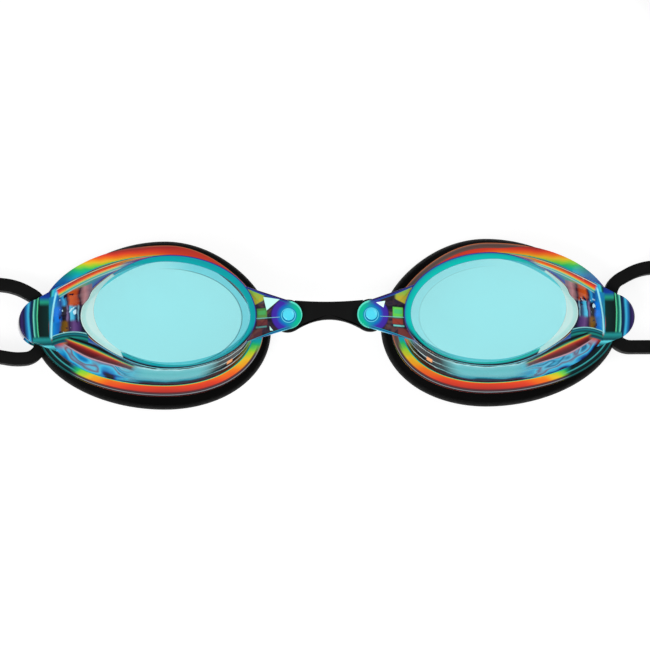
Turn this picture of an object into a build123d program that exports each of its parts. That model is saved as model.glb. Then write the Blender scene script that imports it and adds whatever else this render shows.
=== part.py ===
"""Racing swim goggles, lying windows up on a flat surface with the head strap laid out round them.

Frame, millimetres: +X to the right and +Y towards the forehead, as seen from in front of the windows,
+Z out of the windows. Z = 0 is the surface that the face seals rest on. X = 0 and Y = 0 are at the middle
of the nose bridge, level with the two studs that hold it. Pieces are drawn for the right-hand side and
mirrored to the left.
"""

import os

from build123d import *

# Egg-shaped outlines, each four quarter ellipses round one centre:
# centre x, centre y, length towards the nose, length towards the temple, height above, height below
SEAL_EGG = (41.8, -3.1, 27.2, 33.9, 23.4, 19.9)
FLANGE_EGG = (41.8, -2.7, 25.2, 33.4, 21.8, 17.8)
RIM_EGG = (41.4, -0.4, 22.0, 23.2, 16.0, 13.3)
WINDOW_EGG = (41.2, 0.5, 20.0, 20.0, 13.3, 13.3)

# Levels above the resting surface
SEAL_WIDEST = 3.0
FLANGE_BACK = 8.0
FLANGE_FRONT = 9.4
RIM = 17.8
FRONT = 19.2

# Eyecup walls and seal
FLANGE_WIDTH = 2.8
WALL = 1.6
WINDOW_THICK = 1.8
SEAL_WIDTH = 4.8
SEAL_TUCK = 0.9
SEAL_SETBACK = 0.3  # the seal's bonded face stands this far inside the flange's edge
SEAL_END = 71.3  # the seal is cut straight here, clear of the lug

# Nose tab, stud and bridge
STUD_X = 10.75
STUD_R = 1.65
STUD_HEAD_R = 2.1
STUD_HEAD_THICK = 0.8
TAB_TIP_R = 3.6
TAB_BACK = 15.4
TAB_FRONT = 17.2
TAB_ROOT_X = 23.0
BRIDGE_THICK = 2.6
BRIDGE_GAP = 0.1
EYELET_R = 4.6
EYELET_CLEARANCE = 0.05
WAIST_END_X = 8.8

# Temple lug and the slot that the strap runs through
LUG_BACK = 0.3
LUG_TIP_X = 80.0
LUG_WALL_X = 71.6
SLOT_NEAR_X = 72.4
SLOT_FAR_X = 75.9
SLOT_BACK = 1.2
SLOT_FRONT = 7.8

# Strap: one silicone band that stands on its edge
BAND_THICK = 3.3
BAND_WIDE = 6.0
LUG_X = (SLOT_NEAR_X + SLOT_FAR_X) / 2
LUG_LIFT = 1.3  # height of the band's lower edge inside the lugs
CLIP_LIFT = 1.1  # and inside the clip
INNER_X = 94.0  # strand from the upper side of the lugs
OUTER_X = 98.2  # strand from the lower side of the lugs
TAIL_X = 27.0  # free ends of the band, past the clip
LIFT_START_X = 91.0  # the band climbs from the surface here ...
LIFT_END_X = 79.0  # ... to its height in the lug here
CLIP_RAMP_X = 52.0  # and begins its climb to the clip here
STRAP_BACK_Y = 50.0  # beyond this the band belongs to the run behind the head
BEYOND = 130.0  # further from the middle than any part of the strap

# Strap clip, at the back of the head
CLIP_Y = 96.0
CLIP_LONG = 18.0
CLIP_HIGH = 8.2
CLIP_PITCH = 4.3
CLIP_SLOT = 3.6
CLIP_SLOT_HIGH = 6.3
CLIP_SIDE = 1.1


def egg_stack(*levels):
    """Straight-sided solid through levels of (height, outline, inset from that outline)."""
    with BuildPart() as stack:
        for height, outline, inset in levels:
            x, y, nose, temple, above, below = outline
            with BuildSketch(Plane.XY.offset(height)):
                with BuildLine():
                    EllipticalCenterArc((x, y), temple - inset, above - inset, 0, arc_size=90)
                    EllipticalCenterArc((x, y), nose - inset, above - inset, 90, arc_size=90)
                    EllipticalCenterArc((x, y), nose - inset, below - inset, 180, arc_size=90)
                    EllipticalCenterArc((x, y), temple - inset, below - inset, 270, arc_size=90)
                make_face()
        loft(ruled=True)
    return stack.part


# ---------------------------------------------------------------- temple lug
with BuildPart() as lug:
    with BuildSketch(Plane.XY.offset(LUG_BACK)):
        with BuildLine():
            low_edge = Polyline((66.0, -9.6), (70.0, -8.6), (75.4, -6.3))
            tip = ThreePointArc(low_edge @ 1, (LUG_TIP_X, -0.8), (75.4, 5.3))
            Polyline(tip @ 1, (70.0, 8.4), (66.0, 10.4), low_edge @ 0)
        make_face()
    extrude(amount=FLANGE_FRONT - LUG_BACK)
    # Behind the flange the lug starts at its own inner wall, and leaves the seal's place free
    with Locations((LUG_WALL_X - 10, 0, FLANGE_BACK - 10)):
        Box(20, 40, 20, mode=Mode.SUBTRACT)
    # The slot widens towards both mouths, so that the band can turn outwards
    with BuildSketch(Plane.XY.offset(SLOT_BACK)):
        with BuildLine():
            Polyline(
                (SLOT_NEAR_X, -14),
                (84, -14),
                (84, -10.5),
                (SLOT_FAR_X, -1.4),
                (SLOT_FAR_X, 1.4),
                (84, 10.5),
                (84, 14),
                (SLOT_NEAR_X, 14),
                close=True,
            )
        make_face()
    extrude(amount=SLOT_FRONT - SLOT_BACK, mode=Mode.SUBTRACT)

# ---------------------------------------------------------------- eyecup, in one with its tab, stud and lug
hollow = egg_stack(
    (FLANGE_BACK - 1, FLANGE_EGG, FLANGE_WIDTH + WALL),
    (FLANGE_FRONT, FLANGE_EGG, FLANGE_WIDTH + WALL),
    (FRONT - WINDOW_THICK, RIM_EGG, WALL),
)
shell = egg_stack(
    (FLANGE_BACK, FLANGE_EGG, 0),
    (FLANGE_BACK + 0.8, FLANGE_EGG, 0),
    (FLANGE_FRONT, FLANGE_EGG, FLANGE_WIDTH),
    (RIM, RIM_EGG, 0),
    (FRONT, WINDOW_EGG, 0),
)

with BuildPart() as right_lens:
    add(shell)
    with BuildSketch(Plane.XY.offset(TAB_BACK)):
        with BuildLine():
            tab_end = CenterArc((STUD_X, 0), TAB_TIP_R, 110, 140)
            Polyline(tab_end @ 1, (TAB_ROOT_X, -8.4), (TAB_ROOT_X, 6.9), tab_end @ 0)
        make_face()
    extrude(amount=TAB_FRONT - TAB_BACK)
    add(hollow, mode=Mode.SUBTRACT)
    STUD_FOOT = TAB_BACK - BRIDGE_THICK - 2 * BRIDGE_GAP
    with BuildSketch(Plane.XY.offset(STUD_FOOT)):
        with Locations((STUD_X, 0)):
            Circle(STUD_R)
    extrude(amount=TAB_BACK - STUD_FOOT)
    with BuildSketch(Plane.XY.offset(STUD_FOOT - STUD_HEAD_THICK)):
        with Locations((STUD_X, 0)):
            Circle(STUD_HEAD_R)
    extrude(amount=STUD_HEAD_THICK)
    add(lug.part)

with BuildPart() as left_lens:
    mirror(right_lens.part, about=Plane.YZ)

# ---------------------------------------------------------------- face seals
seal_body = egg_stack(
    (0, SEAL_EGG, SEAL_TUCK),
    (SEAL_WIDEST, SEAL_EGG, 0),
    (FLANGE_BACK, FLANGE_EGG, SEAL_SETBACK),
)
seal_opening = egg_stack(
    (-1, SEAL_EGG, SEAL_WIDTH),
    (SEAL_WIDEST, SEAL_EGG, SEAL_WIDTH),
    (FLANGE_BACK, FLANGE_EGG, FLANGE_WIDTH + WALL),
    (FLANGE_BACK + 1, FLANGE_EGG, FLANGE_WIDTH + WALL),
)

with BuildPart() as right_gasket:
    add(seal_body)
    add(seal_opening, mode=Mode.SUBTRACT)
    with BuildSketch(Plane.XY.offset(-1)):
        with BuildLine():
            Polyline((SEAL_END, 14), (SEAL_END, -8.6), (76, -12.4), (90, -12.4), (90, 14), close=True)
        make_face()
    extrude(amount=FLANGE_BACK + 2, mode=Mode.SUBTRACT)

with BuildPart() as left_gasket:
    mirror(right_gasket.part, about=Plane.YZ)

# ---------------------------------------------------------------- nose bridge
with BuildPart() as nose_bridge:
    with BuildSketch(Plane.XY.offset(TAB_BACK - BRIDGE_GAP - BRIDGE_THICK)):
        with BuildLine():
            top = ThreePointArc((-WAIST_END_X, 3.9), (0, 3.5), (WAIST_END_X, 3.9))
            arch = ThreePointArc((WAIST_END_X, -3.9), (0, -1.1), (-WAIST_END_X, -3.9))
            Line(top @ 1, arch @ 0)
            Line(arch @ 1, top @ 0)
        make_face()
        with Locations((STUD_X, 0), (-STUD_X, 0)):
            Circle(EYELET_R)
            Circle(STUD_R + EYELET_CLEARANCE, mode=Mode.SUBTRACT)
    extrude(amount=BRIDGE_THICK)

# ---------------------------------------------------------------- head strap
# Route of the band's middle line, with the radius of each corner between its two ends
ROUTE = [
    ((-TAIL_X, CLIP_Y - CLIP_PITCH), None),
    ((INNER_X, CLIP_Y - CLIP_PITCH), 23),
    ((INNER_X, 13.6), 9),
    ((81.5, 12.2), 16),
    ((LUG_X, 8.2), 5),
    ((LUG_X, -8.2), 5),
    ((OUTER_X, -8.1), 13),
    ((OUTER_X, CLIP_Y + CLIP_PITCH), 27),
    ((-OUTER_X, CLIP_Y + CLIP_PITCH), 27),
    ((-OUTER_X, -6.6), 13),
    ((-81.0, -9.9), 14),
    ((-LUG_X, -9.6), 4.5),
    ((-LUG_X, 5.4), 4),
    ((-80.3, 9.0), 16),
    ((-INNER_X, 10.8), 9),
    ((-INNER_X, CLIP_Y), 23),
    ((TAIL_X, CLIP_Y), None),
]


def band_space(lift, raised_x, level_x, low_y, high_y):
    """Space that the band's width fills: raised by lift out to raised_x, on the surface from level_x on."""
    low_edge = [(-BEYOND, 0), (-level_x, 0), (-raised_x, lift), (raised_x, lift), (level_x, 0), (BEYOND, 0)]
    top_edge = [(x, z + BAND_WIDE) for x, z in reversed(low_edge)]
    with BuildPart() as space:
        with BuildSketch(Plane.XZ.offset(-high_y)):
            with BuildLine():
                Polyline(*low_edge, *top_edge, close=True)
            make_face()
        extrude(amount=high_y - low_y)
    return space.part


with BuildPart() as strap:
    with BuildSketch():
        with BuildLine() as route:
            FilletPolyline(*[point for point, _ in ROUTE], radius=[radius for _, radius in ROUTE[1:-1]])
            offset(amount=BAND_THICK / 2, side=Side.BOTH)
        make_face()
    extrude(amount=LUG_LIFT + BAND_WIDE)
    add(
        band_space(LUG_LIFT, LIFT_END_X, LIFT_START_X, -BEYOND, STRAP_BACK_Y)
        + band_space(CLIP_LIFT, TAIL_X + 1, CLIP_RAMP_X, STRAP_BACK_Y, BEYOND),
        mode=Mode.INTERSECT,
    )

# ---------------------------------------------------------------- strap clip
with BuildPart() as strap_clip:
    with BuildSketch(Plane.XY):
        with Locations((0, CLIP_Y)):
            RectangleRounded(CLIP_LONG, 2 * CLIP_PITCH + CLIP_SLOT + 2 * CLIP_SIDE, 1.5)
    extrude(amount=CLIP_HIGH)
    chamfer(strap_clip.faces().filter_by(Axis.Z).edges(), length=0.4)
    with Locations((0, CLIP_Y, CLIP_LIFT + BAND_WIDE / 2)):
        with GridLocations(0, CLIP_PITCH, 1, 3):
            Box(CLIP_LONG + 2, CLIP_SLOT, CLIP_SLOT_HIGH, mode=Mode.SUBTRACT)

# ---------------------------------------------------------------- labels and files
os.makedirs("parts", exist_ok=True)

right_lens.part.label = "right_lens"
export_step(right_lens.part, "parts/right_lens.step")
left_lens.part.label = "left_lens"
export_step(left_lens.part, "parts/left_lens.step")
right_gasket.part.label = "right_gasket"
export_step(right_gasket.part, "parts/right_gasket.step")
left_gasket.part.label = "left_gasket"
export_step(left_gasket.part, "parts/left_gasket.step")
nose_bridge.part.label = "nose_bridge"
export_step(nose_bridge.part, "parts/nose_bridge.step")
strap.part.label = "strap"
export_step(strap.part, "parts/strap.step")
strap_clip.part.label = "strap_clip"
export_step(strap_clip.part, "parts/strap_clip.step")
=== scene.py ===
"""Looks for the racing swim goggles: mirrored eyecups, face seals, nose bridge, flat silicone strap and clip.

Everything is worked out in the CAD's own frame. Sizes are in millimetres and become metres where a mesh is
made. The right-hand pieces (+X) are drawn and the left-hand ones are their mirror images.
"""

import math

import bpy
from mathutils import Matrix, Vector


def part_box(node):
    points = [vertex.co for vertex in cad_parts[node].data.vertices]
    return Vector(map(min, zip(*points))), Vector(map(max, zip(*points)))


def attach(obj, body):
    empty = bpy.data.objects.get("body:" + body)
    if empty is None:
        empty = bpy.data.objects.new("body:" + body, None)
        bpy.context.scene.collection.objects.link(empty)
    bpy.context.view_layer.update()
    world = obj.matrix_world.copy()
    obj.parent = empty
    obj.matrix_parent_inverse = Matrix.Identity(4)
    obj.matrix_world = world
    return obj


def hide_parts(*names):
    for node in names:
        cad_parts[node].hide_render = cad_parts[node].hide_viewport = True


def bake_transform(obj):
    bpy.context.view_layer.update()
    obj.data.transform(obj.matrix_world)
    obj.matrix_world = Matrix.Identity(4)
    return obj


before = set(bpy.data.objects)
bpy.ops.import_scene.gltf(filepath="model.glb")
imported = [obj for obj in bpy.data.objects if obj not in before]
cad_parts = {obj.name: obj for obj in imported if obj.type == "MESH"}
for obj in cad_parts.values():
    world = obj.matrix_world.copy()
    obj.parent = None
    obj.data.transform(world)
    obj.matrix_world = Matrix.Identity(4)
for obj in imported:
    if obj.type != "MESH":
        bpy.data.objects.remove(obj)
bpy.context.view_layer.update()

MM = 0.001
TAU = 2 * math.pi
COLUMNS = 432  # points round each egg-shaped ring

# Levels of the eyecup above the resting surface, worked out from the CAD's seal and window
FLANGE_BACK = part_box("right_gasket")[1].z / MM
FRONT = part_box("right_lens")[1].z / MM
FLANGE_EDGE = FLANGE_BACK + 0.8
WALL_FOOT = FLANGE_BACK + 1.4
RIM = FRONT - 1.0
RIM_TEMPLE = FRONT - 2.3
WINDOW_BACK = FRONT - 1.8
SEAL_WIDEST = 3.0

# Nose tab, bridge and lug: the CAD's sizes, but for slimmer eyelets and a lug 0.1 mm higher
STUD_X = 10.75
TAB_LOW, TAB_HIGH, TAB_RADIUS = 15.4, 17.2, 3.6
BRIDGE_LOW, BRIDGE_HIGH, EYELET_RADIUS = 12.7, 15.3, 4.25
LUG_LOW, LUG_HIGH = 0.3, 9.5
LUG_WALL = 71.6  # inwards of this the lug lies on the flange and reaches no lower
SLOT_NEAR, SLOT_FAR, SLOT_LOW, SLOT_HIGH = 72.4, 75.9, 1.2, 7.8


# ---------------------------------------------------------------- outlines
class Egg:
    """Closed outline of four quarter ellipses round one centre.

    `full` makes each quarter fuller: temple side above, nose side above, temple side below, nose side below.
    """

    def __init__(self, x, y, nose, temple, top, low, full=(0, 0, 0, 0), tilt=0.0):
        self.x, self.y, self.nose, self.temple, self.top, self.low = x, y, nose, temple, top, low
        self.full, self.tilt = full, tilt

    def at(self, angle, inset=0.0, scale=1.0):
        c, s = math.cos(angle), math.sin(angle)
        long = (self.temple if c > 0 else self.nose) - inset
        short = (self.top if s > 0 else self.low) - inset
        quarter = (0 if c > 0 else 1) + (0 if s > 0 else 2)
        swell = 1 + self.full[quarter] * math.sin(2 * angle) ** 2
        dx, dy = long * c * swell * scale, short * s * swell * scale
        t = math.radians(self.tilt)
        return self.x + dx * math.cos(t) - dy * math.sin(t), self.y + dx * math.sin(t) + dy * math.cos(t)


SEAL = Egg(41.8, -2.5, 27.5, 34.2, 23.1, 20.7, full=(-0.04, -0.03, -0.01, 0.01))
FLANGE = Egg(41.8, -2.5, 25.3, 33.5, 21.6, 17.7, full=(0.02, -0.045, 0.0, 0.02))
RIM_EGG = Egg(41.6, -0.2, 22.5, 23.1, 15.9, 13.5, full=(-0.055, 0, -0.065, 0))
WINDOW = Egg(41.2, 0.5, 20.4, 20.0, 13.3, 13.4, tilt=4)
OPENING = Egg(41.8, -2.5, 22.0, 29.1, 18.6, 14.2, full=(0.0, 0.03, 0.0, 0.02))  # towards the eye
SEAL_LIP = Egg(41.8, -2.5, 23.5, 29.8, 18.9, 16.3, full=(0.0, 0.03, 0.0, 0.02))  # inner edge of the seal
FLANGE_WIDTH = 2.8
WALL = 1.6


def blend(a, b, t):
    return a + (b - a) * t


def ease(t):
    t = min(max(t, 0.0), 1.0)
    return t * t * (3 - 2 * t)


def along(stops, value):
    """Eased value between (position, value) stops."""
    for (a, u), (b, v) in zip(stops, stops[1:]):
        if value <= b:
            return blend(u, v, ease((value - a) / (b - a)))
    return stops[-1][1]


def bell(value, middle, width):
    return math.exp(-((value - middle) / width) ** 2)


def ring(egg, height, inset=0.0, scale=1.0):
    """Points of one outline at a height, which may depend on the angle."""
    points = []
    for i in range(COLUMNS):
        angle = TAU * i / COLUMNS
        x, y = egg.at(angle, inset, scale)
        points.append((x, y, height(angle) if callable(height) else height))
    return points


def between(a, b, t):
    return [tuple(blend(p, q, t) for p, q in zip(u, v)) for u, v in zip(a, b)]


def arc(x, y, radius, start, end, steps):
    """Points of a circular arc between two angles in degrees."""
    angles = [math.radians(blend(start, end, k / steps)) for k in range(steps + 1)]
    return [(x + radius * math.cos(a), y + radius * math.sin(a)) for a in angles]


def rectangle(west, east, south, north):
    return [(west, south), (east, south), (east, north), (west, north)]


def dense(points, step=0.6):
    """Closed outline with extra points along its straight sides."""
    result = []
    for a, b in zip(points, points[1:] + points[:1]):
        a, b = Vector(a), Vector(b)
        parts = max(1, round((b - a).length / step))
        result += [tuple(a.lerp(b, k / parts)) for k in range(parts)]
    return result


# ---------------------------------------------------------------- meshes
def link(name, data):
    item = bpy.data.objects.new(name, data)
    bpy.context.scene.collection.objects.link(item)
    return item


def mesh_from(name, points, faces, side):
    """Mesh from millimetre points. side=-1 mirrors it to the left-hand side."""
    mesh = bpy.data.meshes.new(name)
    if side < 0:
        faces = [tuple(reversed(f)) for f in faces]
    mesh.from_pydata([(side * x * MM, y * MM, z * MM) for x, y, z in points], [], faces)
    return mesh


def smooth(mesh, sharp=35):
    mesh.shade_smooth()
    mesh.set_sharp_from_angle(angle=math.radians(sharp))


def make_object(name, points, faces, body, node, materials,
                face_slots=None, attributes=None, side=1, sharp=35):
    """One piece of the visual model, riding on a body and standing in for a CAD node."""
    mesh = mesh_from(name, points, faces, side)
    for label, values in (attributes or {}).items():
        mesh.attributes.new(label, "FLOAT", "POINT").data.foreach_set("value", values)
    for material in materials:
        mesh.materials.append(material)
    if face_slots:
        mesh.polygons.foreach_set("material_index", face_slots)
    mesh.update()
    smooth(mesh, sharp)
    piece = link(name, mesh)
    if body:
        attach(piece, body)
    if node:
        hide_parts(node)
    return piece


def skin(rings, wrap=False):
    """Quads between rings of equal count, closed by a pole at each end, or joined last to first by wrap.

    Also returns, for each face, the number of the ring that it starts from.
    """
    count = len(rings[0])
    points = [p for r in rings for p in r]
    faces, bands = [], []
    last = len(rings) if wrap else len(rings) - 1
    for k in range(last):
        a, b = k * count, (k + 1) % len(rings) * count
        for i in range(count):
            j = (i + 1) % count
            faces.append((a + i, b + i, b + j, a + j))
            bands.append(k)
    if wrap:
        return points, faces, bands
    for k, order in ((0, 1), (last, -1)):
        points.append(tuple(sum(c) / count for c in zip(*rings[k])))
        for i in range(count):
            corner = (len(points) - 1, k * count + i, k * count + (i + 1) % count)
            faces.append(corner[::order])
            bands.append(min(k, last - 1))
    return points, faces, bands


def prism(outline, low, high, soft=0.3, steps=3):
    """Rings of a plate with rounded upper and lower edges."""
    normals = []
    for before, after in zip(outline[-1:] + outline[:-1], outline[1:] + outline[:1]):
        run = (Vector(after) - Vector(before)).normalized()
        normals.append(Vector((run.y, -run.x)))
    rings = []

    def add(inset, z):
        rings.append([(x - n.x * inset, y - n.y * inset, z) for (x, y), n in zip(outline, normals)])

    turns = [k / steps * math.pi / 2 for k in range(steps + 1)]
    for t in turns:
        add(soft * (1 - math.sin(t)), low + soft * (1 - math.cos(t)))
    for t in turns:
        add(soft * (1 - math.cos(t)), high - soft * (1 - math.sin(t)))
    return rings[::-1]


def cut(piece, outline, low, high, side=1):
    """Cuts a straight prism out of a piece."""
    count = len(outline)
    points = [(x, y, z) for z in (high, low) for x, y in outline]
    faces = [(i, i + count, (i + 1) % count + count, (i + 1) % count) for i in range(count)]
    faces += [tuple(range(count)), tuple(reversed(range(count, 2 * count)))]
    cutter = link("cutter", mesh_from("cutter", points, faces, side))
    modifier = piece.modifiers.new("cut", "BOOLEAN")
    modifier.object = cutter
    modifier.operation = "DIFFERENCE"
    modifier.solver = "EXACT"
    bpy.context.view_layer.update()
    evaluated = piece.evaluated_get(bpy.context.evaluated_depsgraph_get())
    mesh = bpy.data.meshes.new_from_object(evaluated)
    piece.modifiers.clear()
    piece.data = mesh
    bpy.data.objects.remove(cutter)


# ---------------------------------------------------------------- node trees
def srgb(r, g, b, a=1.0):
    """Linear colour from 0-255 values."""
    def lin(c):
        c /= 255
        return c / 12.92 if c <= 0.04045 else ((c + 0.055) / 1.055) ** 2.4
    return lin(r), lin(g), lin(b), a


class Nodes:
    """Short-hand for building one material's node tree. Masks are 1 where something is painted, else 0."""

    def __init__(self, name):
        self.material = bpy.data.materials.new(name)
        self.material.use_nodes = True
        self.tree = self.material.node_tree
        self.shader = self.tree.nodes["Principled BSDF"]

    def new(self, kind, **settings):
        node = self.tree.nodes.new(kind)
        for key, value in settings.items():
            setattr(node, key, value)
        return node

    def plug(self, value, socket):
        if isinstance(value, bpy.types.NodeSocket):
            self.tree.links.new(value, socket)
        else:
            socket.default_value = value

    def set(self, **inputs):
        for key, value in inputs.items():
            self.plug(value, self.shader.inputs[key.replace("_", " ")])

    def attribute(self, name):
        return self.new("ShaderNodeAttribute", attribute_name=name).outputs["Fac"]

    def math(self, operation, a, b=0.0):
        node = self.new("ShaderNodeMath", operation=operation)
        self.plug(a, node.inputs[0])
        self.plug(b, node.inputs[1])
        return node.outputs[0]

    def add(self, a, b):
        return self.math("ADD", a, b)

    def less(self, a, b):
        return self.math("SUBTRACT", a, b)

    def times(self, *values):
        result = values[0]
        for value in values[1:]:
            result = self.math("MULTIPLY", result, value)
        return result

    def length(self, x, y):
        return self.math("SQRT", self.add(self.times(x, x), self.times(y, y)))

    def position(self, axis):
        """Object position along one axis in millimetres."""
        split = self.new("ShaderNodeSeparateXYZ")
        self.tree.links.new(self.new("ShaderNodeTexCoord").outputs["Object"], split.inputs[0])
        return self.times(split.outputs[axis], 1 / MM)

    def place(self):
        """Object position in millimetres: x, measured outwards from the nose, and y."""
        return self.math("ABSOLUTE", self.position("X")), self.position("Y")

    def by_side(self, on_left, on_right):
        """One number on the left-hand pieces and another on the right-hand ones."""
        return self.span(self.position("X"), -1.0, 1.0, on_left, on_right)

    def span(self, value, low, high, to_low=0.0, to_high=1.0, smooth=True):
        """Goes from to_low to to_high as value goes from low to high, and stays level beyond."""
        node = self.new("ShaderNodeMapRange", interpolation_type="SMOOTHSTEP" if smooth else "LINEAR")
        self.plug(value, node.inputs["Value"])
        ends = {"From Min": low, "From Max": high, "To Min": to_low, "To Max": to_high}
        for key, number in ends.items():
            self.plug(number, node.inputs[key])
        return node.outputs["Result"]

    def box(self, value, low, high, soft=0.15):
        """1 between low and high, with soft ends."""
        rise = self.span(value, low - soft, low + soft)
        return self.times(rise, self.span(value, high - soft, high + soft, 1, 0))

    def ramp(self, value, stops):
        """Colours at stops of a value between 0 and 1."""
        node = self.new("ShaderNodeValToRGB")
        elements = node.color_ramp.elements
        while len(elements) < len(stops):
            elements.new(1.0)
        for element, (position, colour) in zip(elements, stops):
            element.position = position
            element.color = srgb(*colour)
        self.plug(value, node.inputs["Fac"])
        return node.outputs["Color"]

    def lanes(self, value, low, high, stops):
        """Colours at stops between low and high of a value."""
        return self.ramp(self.span(value, low, high, smooth=False), stops)

    def mix(self, factor, a, b):
        node = self.new("ShaderNodeMix", data_type="RGBA")
        self.plug(factor, node.inputs["Factor"])
        self.plug(a, node.inputs[6])
        self.plug(b, node.inputs[7])
        return node.outputs[2]

    def lay(self, colour, paint, *masks):
        """Paint, which is a socket or 0-255 values, laid over a colour where every mask is 1."""
        if isinstance(paint, tuple):
            paint = srgb(*paint)
        return self.mix(self.times(*masks), colour, paint)

    def noise(self, scale, detail=2.0, stretch=(1, 1, 1)):
        coords = self.new("ShaderNodeTexCoord").outputs["Object"]
        mapping = self.new("ShaderNodeMapping")
        mapping.inputs["Scale"].default_value = stretch
        self.tree.links.new(coords, mapping.inputs["Vector"])
        node = self.new("ShaderNodeTexNoise")
        node.inputs["Scale"].default_value = scale
        node.inputs["Detail"].default_value = detail
        self.tree.links.new(mapping.outputs[0], node.inputs["Vector"])
        return node.outputs["Fac"]

    def fray(self, value, noise, amount):
        """Value shifted by a noise, up to the amount either way."""
        return self.add(value, self.span(noise, 0.3, 0.7, -amount, amount))

    def strip(self, x, y, start, end, bow=0.0):
        """Along (0-1) and across (mm, positive on the left) a bowed line from start to end."""
        run = Vector(end) - Vector(start)
        ux, uy = run / run.length
        dx, dy = self.less(x, start[0]), self.less(y, start[1])
        travel = self.math("DIVIDE", self.add(self.times(dx, ux), self.times(dy, uy)), run.length)
        across = self.less(self.times(dy, ux), self.times(dx, uy))
        curve = self.times(travel, self.less(1.0, travel), 4 * bow)
        return travel, self.less(across, curve)

    def triangle(self, x, y, a, b, c):
        """1 inside the triangle with corners a, b, c, named anticlockwise."""
        sides = [self.strip(x, y, start, end)[1] for start, end in ((a, b), (b, c), (c, a))]
        return self.times(*(self.span(across, -0.05, 0.1) for across in sides))

    def bump(self, height, strength, distance):
        node = self.new("ShaderNodeBump")
        node.inputs["Strength"].default_value = strength
        node.inputs["Distance"].default_value = distance
        self.plug(height, node.inputs["Height"])
        self.tree.links.new(node.outputs["Normal"], self.shader.inputs["Normal"])


# ---------------------------------------------------------------- coating of the eyecup
# Colours that the mirror coating runs through as its film thickens
SPECTRUM = [
    (0.00, (70, 58, 54)), (0.10, (120, 78, 70)), (0.18, (165, 45, 42)), (0.27, (222, 66, 40)),
    (0.36, (238, 118, 30)), (0.45, (226, 184, 40)), (0.53, (140, 204, 50)), (0.60, (40, 186, 96)),
    (0.68, (0, 166, 160)), (0.76, (20, 150, 214)), (0.84, (24, 84, 184)), (0.90, (70, 46, 150)),
    (0.96, (18, 18, 52)), (1.00, (6, 7, 14)),
]
# Film round the flange: degrees from the temple, and the place in SPECTRUM. The two cups end differently.
FLANGE_FILM = [
    (0, 0.98), (20, 0.96), (27, 0.90), (35, 0.80), (43, 0.70), (49, 0.61), (54, 0.52), (60, 0.43),
    (68, 0.34), (80, 0.28), (95, 0.24), (120, 0.23), (150, 0.26), (170, 0.32), (182, 0.9), (192, 0.70),
    (198, 0.58), (205, 0.5), (214, 0.42), (228, 0.32), (245, 0.25), (270, 0.22), (285, 0.25),
]
FILM_END = {
    1: [(296, 0.35), (303, 0.46), (308, 0.56), (312, 0.66), (318, 0.97), (335, 0.98), (360, 0.98)],
    -1: [(297, 0.30), (306, 0.40), (314, 0.52), (319, 0.62), (323, 0.74), (328, 0.84), (335, 0.97),
         (360, 0.98)],
}
FOOT_FILM = 0.75  # film at the wall's foot, where the flange starts
GLOW = 0.35  # share of its colour that the coating sends back whatever the light, mirroring a white room


def film_at(side, degrees, t):
    """Film on the flange, where t goes from 0 at the wall to 1 at the edge."""
    slope = 0.16 * bell(degrees, 262, 60) + 0.34 * bell(degrees, 70, 26)
    return along(FLANGE_FILM + FILM_END[side], degrees) - (t - 0.4) * slope


def window_material():
    """See-through blue-green, a little deeper in a crescent on the nose side; the crescent is painted
    stronger on the left cup as a painted reflection.
    """
    n = Nodes("mirror_window")
    x, y = n.place()
    tone = n.ramp(n.noise(30), [(0.3, (101, 208, 215)), (0.7, (104, 210, 217))])
    dx = n.times(n.less(x, WINDOW.x + 1.3), 1 / WINDOW.nose)
    dy = n.times(n.less(y, WINDOW.y - 1.3), 1 / WINDOW.top)
    reach = n.length(dx, dy)
    # Painted reflection: the crescent shows fully on the left cup and at 0.3 of its strength on the right
    # cup.
    shown = n.times(n.span(x, 46.0, 34.0), n.by_side(1.0, 0.3))
    tone = n.lay(tone, (56, 176, 194), n.span(reach, 0.955, 0.975), shown)
    tone = n.lay(tone, (24, 96, 108), n.box(reach, 0.952, 0.968, 0.006), shown)
    n.set(Base_Color=tone, Roughness=0.0, IOR=1.01, Transmission_Weight=1.0, Coat_Weight=0.25,
          Coat_Roughness=0.02)
    return n.material


def inner_material():
    """Inner side of the front window, quite clear."""
    n = Nodes("clear_inside")
    tone = n.ramp(n.noise(40), [(0.3, (252, 255, 255)), (0.7, (255, 255, 255))])
    n.set(Base_Color=tone, Roughness=0.0, IOR=1.0, Transmission_Weight=1.0)
    return n.material


def inner_wall_material():
    """Inner side of the sloping wall, a milky blue-green with a painted glow where it shows through the
    window's edge.
    """
    n = Nodes("clear_inner_wall")
    tone = n.ramp(n.noise(60), [(0.3, (120, 206, 214)), (0.7, (134, 214, 220))])
    n.set(Base_Color=tone, Roughness=0.1, IOR=1.0, Transmission_Weight=0.3, Emission_Color=tone,
          Emission_Strength=0.45)
    return n.material


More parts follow.
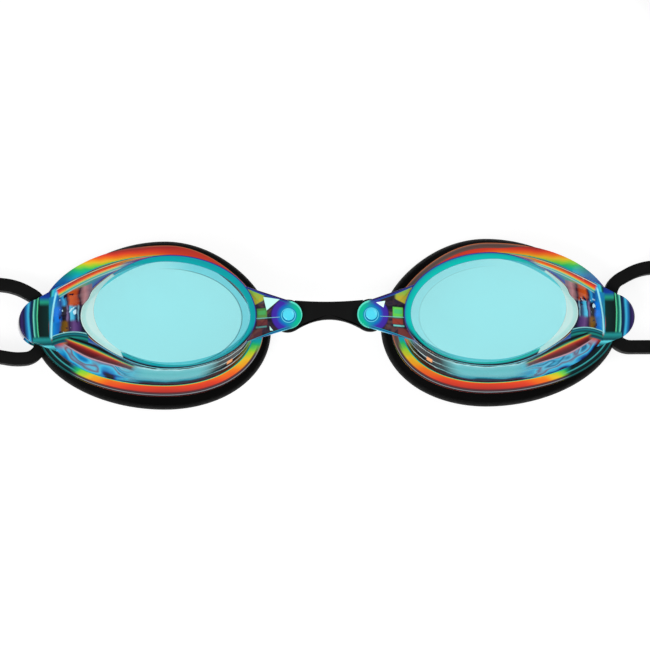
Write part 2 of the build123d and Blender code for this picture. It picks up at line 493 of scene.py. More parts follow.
def rim_material():
    """Bevel round the window: teal with a violet outer line, fading into the pale crescent at the temple,
    whose pale colour and glow are painted see-through light.
    """
    n = Nodes("mirror_rim")
    y = n.position("Y")
    across = n.attribute("across")
    top = n.ramp(across, [
        (0.0, (70, 215, 205)), (0.10, (0, 186, 172)), (0.62, (8, 172, 166)), (0.80, (14, 150, 160)),
        (0.88, (40, 76, 160)), (0.95, (58, 44, 140)), (1.0, (30, 24, 70))])
    low = n.ramp(across, [
        (0.0, (70, 215, 205)), (0.12, (0, 176, 160)), (0.45, (6, 150, 146)), (0.62, (8, 70, 90)),
        (0.72, (4, 10, 14)), (1.0, (4, 6, 10))])
    # Pale crescent: painted see-through light, the lit table behind the clear plastic painted in as colour
    # and glow, with only a little real transmission.
    crescent = n.ramp(across, [
        (0.0, (60, 140, 150)), (0.05, (174, 218, 214)), (0.5, (184, 220, 215)), (0.84, (186, 216, 206)),
        (0.90, (232, 246, 240)), (0.94, (16, 18, 26)), (1.0, (4, 6, 10))])
    reach = n.add(n.attribute("temple"), n.times(across, 0.08))
    temple = n.span(n.add(reach, n.span(y, 0.0, -3.0, 0.0, 0.2)), 0.775, 0.795)
    body = n.mix(n.span(y, -2.0, -7.0), top, low)
    body = n.lay(body, (4, 110, 160), n.span(reach, 0.45, 0.8, 0.0, 0.7), n.span(y, 0.0, 3.0))
    body = n.lay(body, (8, 130, 156), n.by_side(0.5, 0.0), n.box(across, 0.03, 0.68, 0.06))
    colour = n.mix(temple, body, crescent)
    n.set(Base_Color=colour, Roughness=0.03, IOR=1.01, Coat_Weight=0.3, Coat_Roughness=0.03,
          Transmission_Weight=n.span(temple, 0.0, 1.0, 0.1, 0.35, smooth=False), Emission_Color=colour,
          Emission_Strength=n.span(temple, 0.0, 1.0, GLOW, 0.65 * GLOW, smooth=False))
    return n.material


def valley_paint(n, x, y, colour):
    """Many-coloured valley between the window's crescent and the lug, and the green band below it."""
    wander = n.times(n.less(n.noise(260, 3), 0.5), 1.6)
    wx, wy = n.add(x, wander), n.less(y, wander)
    level = n.lanes(wx, 64.6, 71.8, [
        (0.00, (16, 20, 50)), (0.05, (110, 160, 180)), (0.09, (20, 24, 56)), (0.18, (30, 90, 130)),
        (0.24, (64, 170, 206)), (0.34, (80, 190, 224)), (0.38, (40, 30, 80)), (0.44, (120, 100, 140)),
        (0.50, (24, 18, 36)), (0.60, (6, 10, 18)), (0.66, (10, 70, 150)), (0.74, (16, 120, 226)),
        (0.86, (14, 120, 214)), (0.94, (10, 70, 130)), (1.00, (30, 130, 160))])
    upper = n.lanes(wx, 62.0, 71.8, [
        (0.00, (120, 96, 110)), (0.12, (170, 120, 124)), (0.24, (40, 20, 40)), (0.32, (170, 66, 30)),
        (0.50, (196, 84, 30)), (0.58, (30, 20, 50)), (0.66, (50, 160, 216)), (0.74, (12, 60, 130)),
        (0.86, (20, 130, 200)), (1.00, (20, 120, 160))])
    lower = n.lanes(wx, 64.0, 71.8, [
        (0.00, (16, 20, 44)), (0.14, (70, 44, 100)), (0.30, (96, 66, 120)), (0.44, (40, 24, 60)),
        (0.54, (120, 80, 12)), (0.66, (84, 62, 14)), (0.74, (10, 90, 170)), (0.90, (12, 120, 200)),
        (1.00, (30, 140, 170))])
    valley = n.mix(n.span(wy, 2.6, 3.6), n.mix(n.span(wy, -0.4, -1.4), level, lower), upper)
    # Painted glints, and dark specks among them, both part of the valley's painted reflections.
    glints = n.span(n.noise(560, 2, (1, 0.7, 1)), 0.62, 0.67)
    valley = n.lay(valley, (190, 226, 240), glints, n.box(x, 65.5, 69.5))
    dark_specks = n.span(n.noise(420, 2, (0.5, 1, 1)), 0.60, 0.66)
    valley = n.lay(valley, (26, 14, 44), dark_specks, n.box(x, 65.2, 69.8))
    _, below_ridge = n.strip(x, y, (61.0, 8.8), (71.5, 5.8))
    travel, above_band = n.strip(x, y, (62.0, -4.9), (71.5, -4.6), 0.9)
    inside = n.times(n.span(below_ridge, 0.2, -0.2), n.box(x, 61.3, 72.2))
    colour = n.lay(colour, valley, inside, n.span(above_band, -0.2, 0.2))
    band = n.lanes(above_band, -2.4, 0.5, [
        (0.0, (10, 90, 110)), (0.25, (8, 60, 66)), (0.40, (20, 130, 120)), (0.55, (8, 50, 60)),
        (0.68, (14, 110, 120)), (0.80, (6, 60, 80)), (0.88, (150, 230, 226)), (1.0, (30, 120, 150))])
    return n.lay(colour, band, n.box(above_band, -2.3, 0.2), n.box(travel, 0.05, 1.0, 0.02))


def ridge_paint(n, x, y, colour):
    """The two ridges that run from the window to the lug, above and below the valley."""
    # Upper ridge: dark line, orange-red face, then yellow to cyan underneath
    travel, across = n.strip(x, y, (51.5, 14.7), (70.4, 7.0), 0.8)
    face = n.lanes(across, -1.9, 0.8, [
        (0.00, (40, 120, 140)), (0.10, (150, 200, 190)), (0.18, (60, 150, 160)), (0.28, (70, 190, 150)),
        (0.36, (190, 200, 90)), (0.44, (236, 150, 50)), (0.54, (232, 84, 40)), (0.72, (206, 50, 40)),
        (0.80, (130, 26, 26)), (0.86, (235, 225, 210)), (0.92, (60, 50, 70)), (1.00, (24, 20, 34))])
    ends = n.times(n.span(travel, 0.02, 0.22), n.span(travel, 1.0, 0.96))
    colour = n.lay(colour, face, n.box(across, -1.8, 0.7, 0.1), ends)
    # Lower ridge: black at the crescent, then green, yellow, orange and a deep red face
    travel, across = n.strip(x, y, (50.2, -13.6), (69.8, -4.9), -0.35)
    width = n.add(0.42, n.times(n.box(travel, 0.35, 0.85, 0.3), 0.6))
    across = n.math("DIVIDE", across, width)
    face = n.lanes(across, -1.9, 1.9, [
        (0.00, (50, 110, 150)), (0.10, (190, 150, 160)), (0.15, (80, 44, 54)), (0.24, (66, 16, 24)),
        (0.44, (104, 24, 28)), (0.56, (158, 48, 38)), (0.63, (196, 100, 44)), (0.68, (176, 170, 64)),
        (0.73, (64, 150, 84)), (0.78, (6, 96, 96)), (0.83, (4, 8, 12)), (1.00, (4, 6, 10))])
    return n.lay(colour, face, n.box(across, -1.8, 1.8, 0.1), n.box(travel, 0.03, 0.9, 0.04))


def temple_paint(n, x, y, colour):
    """Reflections between the crescent and the lug, laid over a base colour."""
    colour = ridge_paint(n, x, y, valley_paint(n, x, y, colour))
    # Bright line where the slope meets the lug
    travel, across = n.strip(x, y, (70.2, 7.2), (71.7, -5.4), 0.45)
    return n.lay(colour, (150, 226, 236), n.box(across, -0.22, 0.22, 0.14), n.box(travel, 0.02, 0.98, 0.04))


def wall_material():
    """Sloping wall: thin and dark above, pale and see-through below, streaked black by the nose."""
    n = Nodes("mirror_wall")
    x, y = n.place()
    down = n.attribute("across")
    streaks = n.noise(150, 3, (1, 1, 3))
    top = n.ramp(n.fray(down, streaks, 0.06), [
        (0.0, (30, 28, 90)), (0.10, (44, 60, 150)), (0.22, (36, 110, 150)), (0.40, (60, 150, 120)),
        (0.60, (150, 120, 60)), (0.80, (196, 70, 40)), (1.0, (90, 40, 40))])
    pale = n.ramp(n.fray(down, streaks, 0.05), [
        (0.0, (2, 4, 8)), (0.07, (4, 10, 14)), (0.11, (236, 246, 246)), (0.17, (128, 186, 190)),
        (0.35, (96, 176, 178)), (0.60, (120, 190, 194)), (0.72, (84, 166, 180)), (0.79, (30, 140, 170)),
        (0.84, (4, 30, 50)), (1.0, (2, 4, 8))])
    blue = n.ramp(n.fray(down, n.noise(130, 1.5, (1, 1, 2)), 0.24), [
        (0.0, (20, 60, 80)), (0.12, (90, 120, 150)), (0.24, (110, 190, 206)), (0.33, (74, 110, 150)),
        (0.42, (60, 170, 206)), (0.52, (20, 90, 130)), (0.60, (84, 176, 206)), (0.68, (100, 84, 110)),
        (0.76, (60, 180, 214)), (0.86, (10, 120, 180)), (0.94, (8, 40, 110)), (1.0, (4, 8, 20))])
    nose = n.ramp(n.math("FRACT", n.fray(n.times(down, 3.4), streaks, 0.1)), [
        (0.0, (3, 6, 8)), (0.30, (4, 16, 20)), (0.44, (6, 50, 56)), (0.52, (130, 160, 164)),
        (0.57, (225, 236, 232)), (0.62, (6, 24, 28)), (0.86, (3, 6, 8)), (1.0, (4, 30, 34))])
    # Small orange painted glint on the nose side.
    nose = n.lay(nose, (240, 160, 100), n.box(x, 25.2, 26.6, 0.2), n.box(down, 0.42, 0.60, 0.03))
    low = n.mix(n.span(x, 47.0, 54.0), pale, blue)
    low = n.mix(n.span(n.add(x, n.times(down, -3.0)), 33.0, 27.5), low, nose)
    below = n.span(y, -6.0, -8.5)
    colour = temple_paint(n, x, y, n.mix(below, top, low))
    see = n.times(below, n.box(x, 28.0, 54.0, 2.0), 0.8)
    n.set(Base_Color=colour, Roughness=0.04, IOR=1.1, Transmission_Weight=see, Coat_Weight=0.3,
          Coat_Roughness=0.03, Emission_Color=colour, Emission_Strength=n.times(n.less(1.0, see), GLOW))
    return n.material


def flange_material():
    """Rear flange in the colours of its film, with a dark lined fringe, painted highlight lines along its
    outer edge and a dark tail at the temple.
    """
    n = Nodes("mirror_flange")
    x, y = n.place()
    across = n.attribute("across")
    film = n.ramp(n.attribute("film"), SPECTRUM)
    # Light lines near the outer edge (at 0.06 in lines and 0.11 in under) are painted highlights on the
    # flange's edge.
    lines = n.ramp(across, [
        (0.0, (12, 12, 14)), (0.03, (12, 12, 14)), (0.06, (206, 116, 70)), (0.12, (110, 84, 78)),
        (0.30, (84, 68, 64)), (0.50, (110, 80, 74)), (0.56, (60, 30, 34))])
    under = n.ramp(across, [
        (0.0, (10, 10, 12)), (0.06, (10, 10, 12)), (0.11, (150, 150, 156)), (0.18, (40, 30, 36)),
        (0.26, (96, 60, 66)), (0.34, (30, 14, 16)), (0.4, (150, 60, 50))])
    fringe = n.times(n.span(x, 56.0, 44.0), n.by_side(0.12, 0.56))
    lined = n.mix(n.span(across, n.less(fringe, 0.06), fringe), lines, film)
    colour = n.mix(n.span(y, -6.0, -10.0), lined, n.mix(n.span(across, 0.28, 0.4), under, film))
    colour = n.lay(colour, (8, 20, 70), n.span(x, 64.0, 68.5, 0.0, 0.6))
    tail = n.ramp(across, [
        (0.0, (10, 12, 14)), (0.12, (20, 100, 100)), (0.20, (4, 20, 22)), (0.45, (8, 36, 40)),
        (0.55, (60, 170, 170)), (0.63, (6, 30, 36)), (1.0, (4, 16, 20))])
    past_start = n.less(x, n.by_side(64.5, 60.5))
    colour = n.lay(colour, tail, n.span(y, -4.0, -5.0), n.span(past_start, 0.0, 3.0))
    colour = temple_paint(n, x, y, colour)
    n.set(Base_Color=colour, Roughness=0.1, IOR=1.2, Coat_Weight=0.25, Coat_Roughness=0.03,
          Emission_Color=colour, Emission_Strength=GLOW)
    return n.material


TAB_PATCHES_AND_GLINT = (  # facets by the eyecup, painted as flat patches, the fourth a painted glint: west, east, south, north and colour
    (16.3, 18.9, -0.9, 1.8, (96, 196, 76)),
    (16.6, 18.7, 0.1, 1.2, (70, 190, 110)),
    (16.2, 18.9, -2.6, -1.2, (136, 56, 44)),
    (16.4, 19.2, -3.2, -2.8, (110, 200, 190)),
    (17.6, 21.6, -7.4, -3.7, (104, 50, 48)),
)


def eyelet_paint(n, x, y):
    """Rings of colour round the stud: pale ring, blue and purple, green at the tip, dark beyond."""
    dx = n.less(x, STUD_X)
    r = n.length(dx, n.add(y, 0.2))
    disc = n.ramp(n.math("DIVIDE", r, 5.0), [
        (0.0, (0, 110, 160)), (0.33, (0, 110, 160)), (0.35, (100, 200, 222)), (0.37, (100, 200, 222)),
        (0.385, (8, 132, 176)), (0.52, (20, 90, 180)), (0.64, (58, 42, 160)), (0.84, (62, 36, 150)),
        (0.90, (40, 26, 92)), (0.94, (34, 28, 60))])
    patchy = n.ramp(n.noise(330, 2, (1, 1.3, 1)), [
        (0.36, (24, 22, 34)), (0.45, (52, 38, 48)), (0.52, (34, 30, 52)), (0.60, (84, 56, 54)),
        (0.70, (60, 70, 84))])
    colour = n.mix(n.span(r, 4.3, 4.7), disc, patchy)
    colour = n.lay(colour, (0, 178, 140), n.span(dx, 1.4, -2.4), n.span(r, 2.0, 2.3))
    return n.lay(colour, (90, 220, 196), n.span(r, 3.25, 3.4), n.span(dx, 0.0, -1.0))


def tab_edge_paint(n, x, y, colour):
    """Coloured rims along the tab's upper and lower edges and its line against the eyecup."""
    behind_stud = n.span(n.less(x, STUD_X), -1.0, 1.0)
    _, across = n.strip(x, y, (9.5, 3.15), (22.2, 7.7), -0.35)
    edge = n.lanes(across, -0.5, 0.1, [
        (0.0, (30, 40, 110)), (0.3, (24, 100, 170)), (0.5, (16, 16, 60)), (0.7, (60, 54, 160)),
        (1.0, (24, 20, 70))])
    colour = n.lay(colour, edge, n.span(across, -0.48, -0.4), behind_stud)
    _, across = n.strip(x, y, (8.4, -3.2), (22.4, -8.1), 0.25)
    edge = n.lanes(across, 0.9, -0.1, [
        (0.0, (16, 60, 90)), (0.2, (20, 150, 180)), (0.4, (10, 40, 90)), (0.6, (30, 130, 190)),
        (0.75, (80, 190, 190)), (0.85, (12, 20, 50)), (1.0, (40, 50, 130))])
    colour = n.lay(colour, edge, n.span(across, 0.85, 0.75), behind_stud)
    bowed = n.add(x, n.times(y, y, -0.028))
    return n.lay(colour, (50, 60, 170), n.span(x, 21.2, 21.7), n.box(bowed, 19.4, 19.9))


def tab_material():
    """Coated plate: green tip, purple round the stud, dark middle with small bright facets by the eyecup,
    painted as flat patches, one of them a painted glint.
    """
    n = Nodes("mirror_tab")
    x, y = n.place()
    colour = eyelet_paint(n, x, y)
    for west, east, south, north, tone in TAB_PATCHES_AND_GLINT:
        lean = n.add(y, n.times(n.less(x, west), 0.1))
        colour = n.lay(colour, tone, n.box(x, west, east), n.box(lean, south, north), n.by_side(0.4, 1.0))
    _, above = n.strip(x, y, (16.6, 3.9), (19.6, 2.3))
    olive = n.ramp(n.noise(400, 2), [(0.4, (120, 176, 70)), (0.6, (176, 164, 50))])
    colour = n.lay(colour, olive, n.span(above, 0.0, 0.3), n.span(x, 16.6, 17.4))
    travel, across = n.strip(x, y, (13.0, -0.6), (20.0, -1.0))
    colour = n.lay(colour, (120, 190, 200), n.box(across, -0.07, 0.07, 0.05), n.box(travel, 0, 1, 0.02))
    colour = tab_edge_paint(n, x, y, colour)
    # Clear corner between the eyelet and the seal, small on the right cup and wide on the left one: painted
    # see-through light, a pale colour with extra glow.
    small = n.triangle(x, y, (14.4, 3.4), (11.9, 3.0), (13.9, 1.6))
    wide = n.triangle(x, y, (17.2, 4.7), (12.9, 4.0), (16.4, 1.1))
    notch = n.triangle(x, y, (15.7, -2.8), (14.7, -4.1), (15.6, -4.1))
    right, left = n.by_side(0.0, 1.0), n.by_side(1.0, 0.0)
    gap = n.math("MAXIMUM", n.times(small, right), n.times(n.math("MAXIMUM", wide, notch), left))
    colour = n.mix(gap, colour, n.mix(right, srgb(176, 222, 214), srgb(206, 238, 232)))
    n.set(Base_Color=colour, Roughness=0.05, IOR=1.1, Coat_Weight=0.4, Coat_Roughness=0.03,
          Emission_Color=colour, Emission_Strength=n.add(GLOW, n.times(gap, 0.3)))
    return n.material


def stud_material():
    n = Nodes("mirror_stud")
    tone = n.ramp(n.noise(400), [(0.3, (70, 206, 232)), (0.7, (84, 214, 236))])
    n.set(Base_Color=tone, Roughness=0.08, IOR=1.2, Coat_Weight=0.3, Emission_Color=tone,
          Emission_Strength=GLOW)
    return n.material


def lug_material():
    """Temple lug: blue by the eyecup, dark green over the slot, then lines of green, cyan and violet."""
    n = Nodes("mirror_lug")
    x, y = n.place()
    wander = n.times(n.less(n.noise(200, 2, (1, 0.4, 1)), 0.5), 0.8)
    body = n.lanes(n.add(n.add(x, wander), n.times(y, y, 0.012)), 64, 80, [
        (0.0, (30, 40, 90)), (0.1, (20, 70, 140)), (0.2, (16, 130, 200)), (0.30, (14, 130, 220)),
        (0.44, (30, 160, 215)), (0.485, (60, 190, 200)), (0.51, (4, 74, 70)), (0.54, (4, 40, 38)),
        (0.69, (4, 22, 22)), (0.705, (90, 220, 160)), (0.72, (6, 60, 60)), (0.75, (20, 130, 110)),
        (0.765, (120, 220, 200)), (0.785, (6, 30, 60)), (0.82, (6, 40, 84)), (0.85, (60, 180, 216)),
        (0.885, (20, 100, 160)), (0.92, (22, 20, 60)), (0.96, (48, 34, 92)), (1.0, (20, 16, 36))])
    corner = n.lanes(y, 3.0, 9.0, [
        (0.0, (20, 120, 110)), (0.25, (30, 150, 120)), (0.45, (10, 60, 150)), (0.7, (12, 30, 110)),
        (1.0, (6, 16, 60))])
    body = n.lay(body, corner, n.span(y, 3.2, 4.6), n.box(x, 71.9, 74.6))
    foot = n.lanes(n.add(y, wander), -9.0, -4.0, [
        (0.0, (6, 30, 34)), (0.25, (20, 120, 130)), (0.4, (90, 210, 220)), (0.5, (6, 60, 70)),
        (0.75, (30, 140, 140)), (1.0, (4, 40, 40))])
    body = n.lay(body, foot, n.span(y, -4.2, -5.0), n.box(x, 70.5, 76.5))
    body = temple_paint(n, x, y, body)
    n.set(Base_Color=body, Roughness=0.04, IOR=1.1, Transmission_Weight=0.1, Coat_Weight=0.4,
          Coat_Roughness=0.03, Emission_Color=body, Emission_Strength=GLOW)
    return n.material


# ---------------------------------------------------------------- plain materials
def rubber_material(name, dark, light, rough=0.55, sheen=0.12):
    n = Nodes(name)
    grain = n.noise(900, 4)
    tone = n.ramp(n.noise(60, 3), [(0.35, dark), (0.65, light)])
    n.set(Base_Color=tone, Roughness=n.span(grain, 0.3, 0.7, rough - 0.05, rough + 0.08),
          Specular_IOR_Level=sheen, IOR=1.4)
    n.bump(grain, 0.06, 0.0002)
    return n.material


def stage_material():
    n = Nodes("pale_table")
    tone = n.ramp(n.noise(3), [(0.3, (140, 140, 140)), (0.7, (146, 146, 146))])
    n.set(Base_Color=tone, Roughness=0.9, Specular_IOR_Level=0.0, Emission_Color=(1, 1, 1, 1),
          Emission_Strength=0.86)
    return n.material


# ---------------------------------------------------------------- eyecup
def rim_height(angle):
    """The rim drops towards the temple."""
    return blend(RIM, RIM_TEMPLE, ease((math.cos(angle) - 0.1) / 0.8))


def rim_ring_points():
    """Rim outline with the small dent above the crescent's widest place."""
    points = []
    for x, y, z in ring(RIM_EGG, rim_height):
        dent = 0.6 * bell(y, 4.6, 1.3) if x > 55 else 0.0
        points.append((x - dent, y - 0.2 * dent, z))
    return points


def make_shell(side, body, node, materials):
    """The eyecup's own moulding: window, bevelled rim, sloping wall, flange and hollow inside."""
    window, rim, wall, flange, inside, inner_wall = range(len(materials))
    foot = ring(FLANGE, WALL_FOOT, FLANGE_WIDTH)
    rim_ring = rim_ring_points()
    window_ring = ring(WINDOW, FRONT)
    edge = ring(FLANGE, FLANGE_EDGE)
    back_edge = ring(FLANGE, FLANGE_BACK)
    back_foot = ring(OPENING, FLANGE_BACK)
    back_rim = ring(RIM_EGG, WINDOW_BACK, WALL)
    rings, kinds, across = [ring(WINDOW, FRONT, scale=0.3)], [window], [0.0]
    for a, b, steps, kind in (
        (rings[0], window_ring, 5, window),
        (window_ring, rim_ring, 8, rim),
        (rim_ring, foot, 24, wall),
        (foot, edge, 10, flange),
        (edge, back_edge, 3, flange),
        (back_edge, back_foot, 4, flange),
        (back_foot, back_rim, 10, inner_wall),
        (back_rim, ring(RIM_EGG, WINDOW_BACK, WALL, scale=0.3), 4, inside),
    ):
        for k in range(1, steps + 1):
            rings.append(between(a, b, k / steps))
            kinds.append(kind)
            across.append(k / steps)
    points, faces, bands = skin(rings)

    total = len(points)
    values = {"across": [0.0] * total, "film": [FOOT_FILM] * total, "temple": [0.0] * total}
    for k, (kind, t) in enumerate(zip(kinds, across)):
        for i in range(COLUMNS):
            degrees = 360 * i / COLUMNS
            v = k * COLUMNS + i
            values["temple"][v] = math.cos(math.radians(degrees - 3))
            if kind == flange:
                values["across"][v] = 1 - t
                values["film"][v] = film_at(side, degrees, t)
            else:
                values["across"][v] = t
    face_slots = [kinds[band + 1] for band in bands]
    return make_object(f"{body}_shell", points, faces, body, node, materials, face_slots,
                       values, side)


def make_seal(side, body, node, material):
    """Soft ring with a rolled lip, a narrow waist under the flange and an inward sealing face."""
    outer = [(0.0, 2.4), (0.15, 1.5), (0.6, 0.7), (1.4, 0.2), (SEAL_WIDEST, 0.0), (4.6, 0.25), (6.2, 0.9)]
    inner = [(SEAL_WIDEST, 0.0), (0.8, -0.2), (0.1, -0.6), (0.0, -1.0)]
    rings = [ring(SEAL, height, inset) for height, inset in outer]
    rings.append(ring(FLANGE, FLANGE_BACK - 0.9, 0.6))
    rings.append(ring(FLANGE, FLANGE_BACK, 0.3))
    rings.append(ring(OPENING, FLANGE_BACK))
    rings += [ring(SEAL_LIP, height, inset) for height, inset in inner]
    points, faces, _ = skin(rings[::-1], wrap=True)
    make_object(f"{body}_seal", points, faces, body, node, [material], side=side, sharp=60)


def make_tab(side, body, material):
    """Plate from the eyecup to the stud; its root hides under the rim."""
    tip = arc(STUD_X, 0, TAB_RADIUS, 110, 250, 28)
    root = [RIM_EGG.at(math.radians(a), inset=0.4) for a in (213, 205, 195, 185, 175, 165, 155, 149)]
    points, faces, _ = skin(prism(dense(tip + root), TAB_LOW, TAB_HIGH))
    make_object(f"{body}_nose_tab", points, faces, body, None, [material], side=side)


def make_stud(side, body, material):
    """Turned stud with a snap head below and a low round top above the tab."""
    profile = [  # radius, height
        (0.4, 11.9), (1.7, 11.9), (2.1, 12.15), (2.1, 12.4), (1.8, 12.6), (1.65, 12.7), (1.65, TAB_LOW),
        (1.5, TAB_HIGH), (1.5, 17.45), (1.3, 17.6), (0.4, 17.6)]
    turns = [TAU * i / 64 for i in range(64)]
    rings = [[(STUD_X + r * math.cos(a), r * math.sin(a), z) for a in turns] for r, z in profile]
    points, faces, _ = skin(rings[::-1])
    make_object(f"{body}_stud", points, faces, body, None, [material], side=side, sharp=40)


def make_lug(side, body, material):
    """Rounded temple lug with the strap's slot, whose outer bar is thickest in the middle."""
    past_x, past_y = 84, 14  # beyond the lug's tip and its sides, for the cutters
    tip = arc(74.0, -0.5, 6.0, -75, 75, 30)
    outline = dense([(67.0, -9.3), (70.0, -8.5)] + tip + [(70.0, 8.4), (67.0, 9.8)])
    points, faces, _ = skin(prism(outline, LUG_LOW, LUG_HIGH, 0.35))
    piece = make_object(f"{body}_lug", points, faces, body, None, [material], side=side)
    cut(piece, rectangle(LUG_WALL - 10, LUG_WALL, -past_y, past_y), -1, FLANGE_BACK, side)
    bar = [(past_x, -10.5), (SLOT_FAR, -1.4), (SLOT_FAR, 1.4), (past_x, 10.5)]
    slot = [(SLOT_NEAR, -past_y), (past_x, -past_y)] + bar + [(past_x, past_y), (SLOT_NEAR, past_y)]
    cut(piece, slot, SLOT_LOW, SLOT_HIGH, side)
    smooth(piece.data)


def make_bridge(material):
    """Flexible bridge: a waist between two eyelets, arched over the nose."""
    half, steps = 8.8, 24  # half length of the waist, and the steps along it
    places = [half * (1 - 2 * k / steps) for k in range(steps + 1)]
    top = [(x, 3.5 + 0.4 * (x / half) ** 2) for x in places]
    low = [(-x, -1.1 - 2.8 * (x / half) ** 2) for x in places]
    left = arc(-STUD_X, -0.1, EYELET_RADIUS, 62, 298, 40)
    right = arc(STUD_X, -0.1, EYELET_RADIUS, -118, 118, 40)
    points, faces, _ = skin(prism(top + left + low + right, BRIDGE_LOW, BRIDGE_HIGH, 0.45))
    make_object("bridge", points, faces, "bridge_and_strap", "nose_bridge", [material])


# ---------------------------------------------------------------- strap and clip
BAND_THICK, BAND_WIDE = 3.3, 6.0  # the band stands on its edge
BAND_SOFT = 0.45  # radius of the band's long edges
LUG_LIFT, CLIP_LIFT = 1.3, 1.1  # how far the band is raised inside the lugs and inside the clip
CLIP_Y, CLIP_PITCH = 96.0, 4.3
SPLIT_Y = 65.0  # the band's side loops reach this far up
SPLIT_TOLERANCE = 0.001
ROUTE = [  # middle line of the band and the radius of each corner, from the CAD
    (-27.0, 91.7, 0), (94.0, 91.7, 23), (94.0, 13.6, 9), (81.5, 12.2, 16), (74.15, 8.2, 5),
    (74.15, -8.2, 5), (98.2, -8.1, 13), (98.2, 100.3, 27), (-98.2, 100.3, 27), (-98.2, -6.6, 13),
    (-81.0, -9.9, 14), (-74.15, -9.6, 4.5), (-74.15, 5.4, 4), (-80.3, 9.0, 16), (-94.0, 10.8, 9),
    (-94.0, 96.0, 23), (27.0, 96.0, 0),
]


def middle_line(step=1.5):
    """Points along the route with its corners rounded, one of them at each crossing of SPLIT_Y."""
    line = [Vector(ROUTE[0][:2])]
    for before, (x, y, radius), after in zip(ROUTE, ROUTE[1:-1], ROUTE[2:]):
        corner = Vector((x, y))
        u, w = (Vector(before[:2]) - corner).normalized(), (Vector(after[:2]) - corner).normalized()
        half = u.angle(w) / 2
        centre = corner + (u + w).normalized() * radius / math.sin(half)
        start, end = corner + u * radius / math.tan(half), corner + w * radius / math.tan(half)
        first = start - centre
        turn = first.angle_signed(end - centre)
        steps = max(4, round(abs(turn) * radius / 0.8))
        line += [centre + Matrix.Rotation(-turn * k / steps, 2) @ first for k in range(steps + 1)]
    line.append(Vector(ROUTE[-1][:2]))
    fine = []
    for a, b in zip(line, line[1:]):
        parts = max(1, round((b - a).length / step))
        places = [k / parts for k in range(parts)]
        if min(a.y, b.y) < SPLIT_Y < max(a.y, b.y):
            places.append((SPLIT_Y - a.y) / (b.y - a.y))
        fine += [a.lerp(b, place) for place in sorted(places)]
    return fine + [line[-1]]


def lift(point):
    """Height of the band's lower edge: on the table, raised inside the lugs and inside the clip."""
    x = abs(point.x)
    if point.y < 50:
        return LUG_LIFT * ease((91 - x) / 12)
    return CLIP_LIFT * ease((52 - x) / 24)


def band_ring(point, across):
    """Rounded cross-section of the band at one place of its route."""
    side, top = BAND_THICK / 2 - BAND_SOFT, BAND_WIDE - BAND_SOFT
    corners = ((side, top, 0), (-side, top, 90), (-side, BAND_SOFT, 180), (side, BAND_SOFT, 270))
    section = []
    for x, z, start in corners:
        section += arc(x, z, BAND_SOFT, start, start + 90, 4)
    low = lift(point)
    return [(point.x + across.x * u, point.y + across.y * u, low + z) for u, z in section]


def band_mesh(lines):
    points, faces = [], []
    for line in lines:
        rings = []
        for before, point, after in zip(line[:1] + line, line, line[1:] + line[-1:]):
            run = (after - before).normalized()
            rings.append(band_ring(point, Vector((run.y, -run.x))))
        more, loops, _ = skin(rings[::-1])
        faces += [tuple(len(points) + i for i in face) for face in loops]
        points += more
    return points, faces


def make_strap(material):
    """The band in three stretches: the runs behind the head, and a loop to each lug, left unattached."""
    line = middle_line()
    runs, current = [], [line[0]]
    for point in line[1:]:
        current.append(point)
        if abs(point.y - SPLIT_Y) < SPLIT_TOLERANCE:
            runs.append(current)
            current = [point]
    runs.append(current)
    points, faces = band_mesh(runs[::2])
    make_object("strap_rear", points, faces, "bridge_and_strap", "strap", [material],
                sharp=50)
    for label, side, run in (("right", 1, runs[1]), ("left", -1, runs[3])):
        points, faces = band_mesh([run])
        loop = make_object(f"strap_{label}", points, faces, None, "strap", [material],
                           sharp=50)
        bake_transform(loop)


def make_clip(material):
    """Adjuster clip with three slots for the band and four grip grooves on top."""
    half_x, half_y, height, corner = 9.0, 7.2, 8.2, 1.5
    slot_half, slot_low, slot_high = 1.8, 0.95, 7.25
    groove_half, groove_low = 0.35, 7.95
    past = 3.0  # how far the cutters stand out of the clip
    outline = []
    for cx, cy, start in ((1, 1, 0), (-1, 1, 90), (-1, -1, 180), (1, -1, 270)):
        x, y = cx * (half_x - corner), CLIP_Y + cy * (half_y - corner)
        outline += arc(x, y, corner, start, start + 90, 8)
    points, faces, _ = skin(prism(dense(outline), 0.0, height, 0.5))
    piece = make_object("clip", points, faces, "strap_clip", "strap_clip", [material])
    reach = half_x + past
    for k in (-1, 0, 1):
        y = CLIP_Y + k * CLIP_PITCH
        cut(piece, rectangle(-reach, reach, y - slot_half, y + slot_half), slot_low, slot_high)
    south, north = CLIP_Y - half_y - past, CLIP_Y + half_y + past
    for x in (-4.5, -1.5, 1.5, 4.5):
        cut(piece, rectangle(x - groove_half, x + groove_half, south, north), groove_low, height + past)
    smooth(piece.data)


# ---------------------------------------------------------------- the whole object
MATERIALS = [window_material(), rim_material(), wall_material(), flange_material(), inner_material(),
             inner_wall_material()]
SEAL_BLACK = rubber_material("seal_silicone_black", (4, 4, 4), (8, 8, 8), sheen=0.06)
BRIDGE_BLACK = rubber_material("bridge_silicone_black", (14, 14, 14), (22, 22, 22))
STRAP_BLACK = rubber_material("strap_silicone_black", (14, 14, 14), (19, 19, 19), 0.6)
CLIP_BLACK = rubber_material("clip_plastic_black", (16, 16, 17), (24, 24, 25), 0.4)
TAB, STUD, LUG = tab_material(), stud_material(), lug_material()
for side, label in ((1, "right"), (-1, "left")):
    body = f"{label}_eyecup"
    make_shell(side, body, f"{label}_lens", MATERIALS)
    make_seal(side, body, f"{label}_gasket", SEAL_BLACK)
    make_tab(side, body, TAB)
    make_stud(side, body, STUD)
    make_lug(side, body, LUG)
make_bridge(BRIDGE_BLACK)
make_strap(STRAP_BLACK)
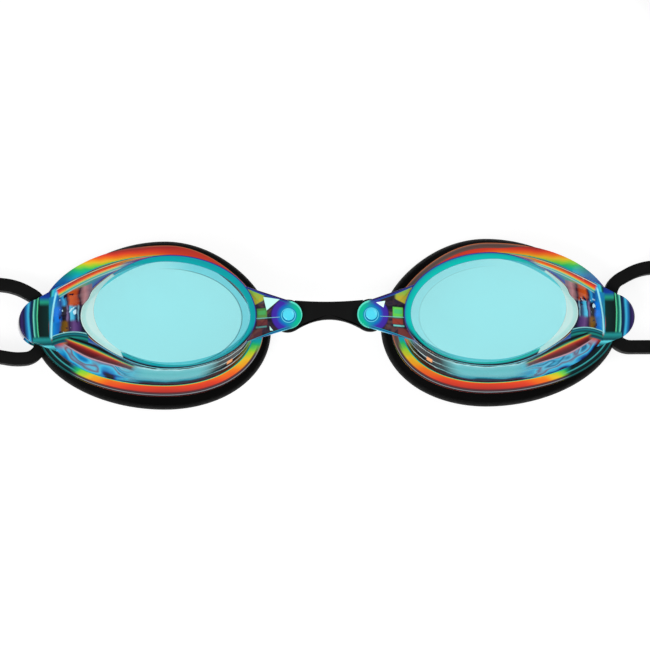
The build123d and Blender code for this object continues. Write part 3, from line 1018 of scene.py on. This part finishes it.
make_clip(CLIP_BLACK)


# ---------------------------------------------------------------- stage, light and camera
TABLE_REACH = 3.0  # metres each way
DISTANCE = 2.5  # metres from the camera to the goggles
VIEW_WIDTH = 169 * MM  # seen across the picture at the goggles
SENSOR = 36  # millimetres
ROLL = 0.9  # degrees that the camera is turned about its line of sight


def make_stage():
    mesh = bpy.data.meshes.new("table")
    corners = rectangle(-TABLE_REACH, TABLE_REACH, -TABLE_REACH, TABLE_REACH)
    mesh.from_pydata([(x, y, 0) for x, y in corners], [], [(0, 1, 2, 3)])
    mesh.materials.append(stage_material())
    link("table", mesh)


def soft_light(name, place, size, watts):
    """Area light that points at the goggles."""
    data = bpy.data.lights.new(name, "AREA")
    data.shape = "RECTANGLE"
    data.size, data.size_y = size
    data.energy = watts
    lamp = link(name, data)
    lamp.location = place
    lamp.rotation_euler = (-Vector(place)).to_track_quat("-Z", "Y").to_euler()


def make_light():
    world = bpy.data.worlds.new("studio")
    world.use_nodes = True
    world.node_tree.nodes["Background"].inputs["Color"].default_value = (1, 1, 1, 1)
    world.node_tree.nodes["Background"].inputs["Strength"].default_value = 0.35
    bpy.context.scene.world = world
    soft_light("key", (-0.5, -0.5, 0.9), (0.8, 0.5), 5)
    soft_light("fill", (0.7, 0.3, 0.8), (0.6, 0.6), 3)


def make_camera():
    """Camera high above the goggles, a little to their left and below their middle."""
    target = Vector((0, -1.27 * MM, 0))
    direction = Vector((-0.077, -0.087, 1)).normalized()
    data = bpy.data.cameras.new("camera")
    data.sensor_width = SENSOR
    data.lens = SENSOR * DISTANCE / VIEW_WIDTH
    data.clip_end = 20
    camera = link("camera", data)
    camera.location = target + direction * DISTANCE
    right = Vector((0, 1, 0)).cross(direction).normalized()
    roll = Matrix.Rotation(math.radians(-ROLL), 3, direction)
    level = Matrix((right, direction.cross(right), direction)).transposed()
    camera.rotation_euler = (roll @ level).to_euler()
    bpy.context.scene.camera = camera


make_stage()
make_light()
make_camera()
bpy.context.scene.view_settings.view_transform = "Standard"
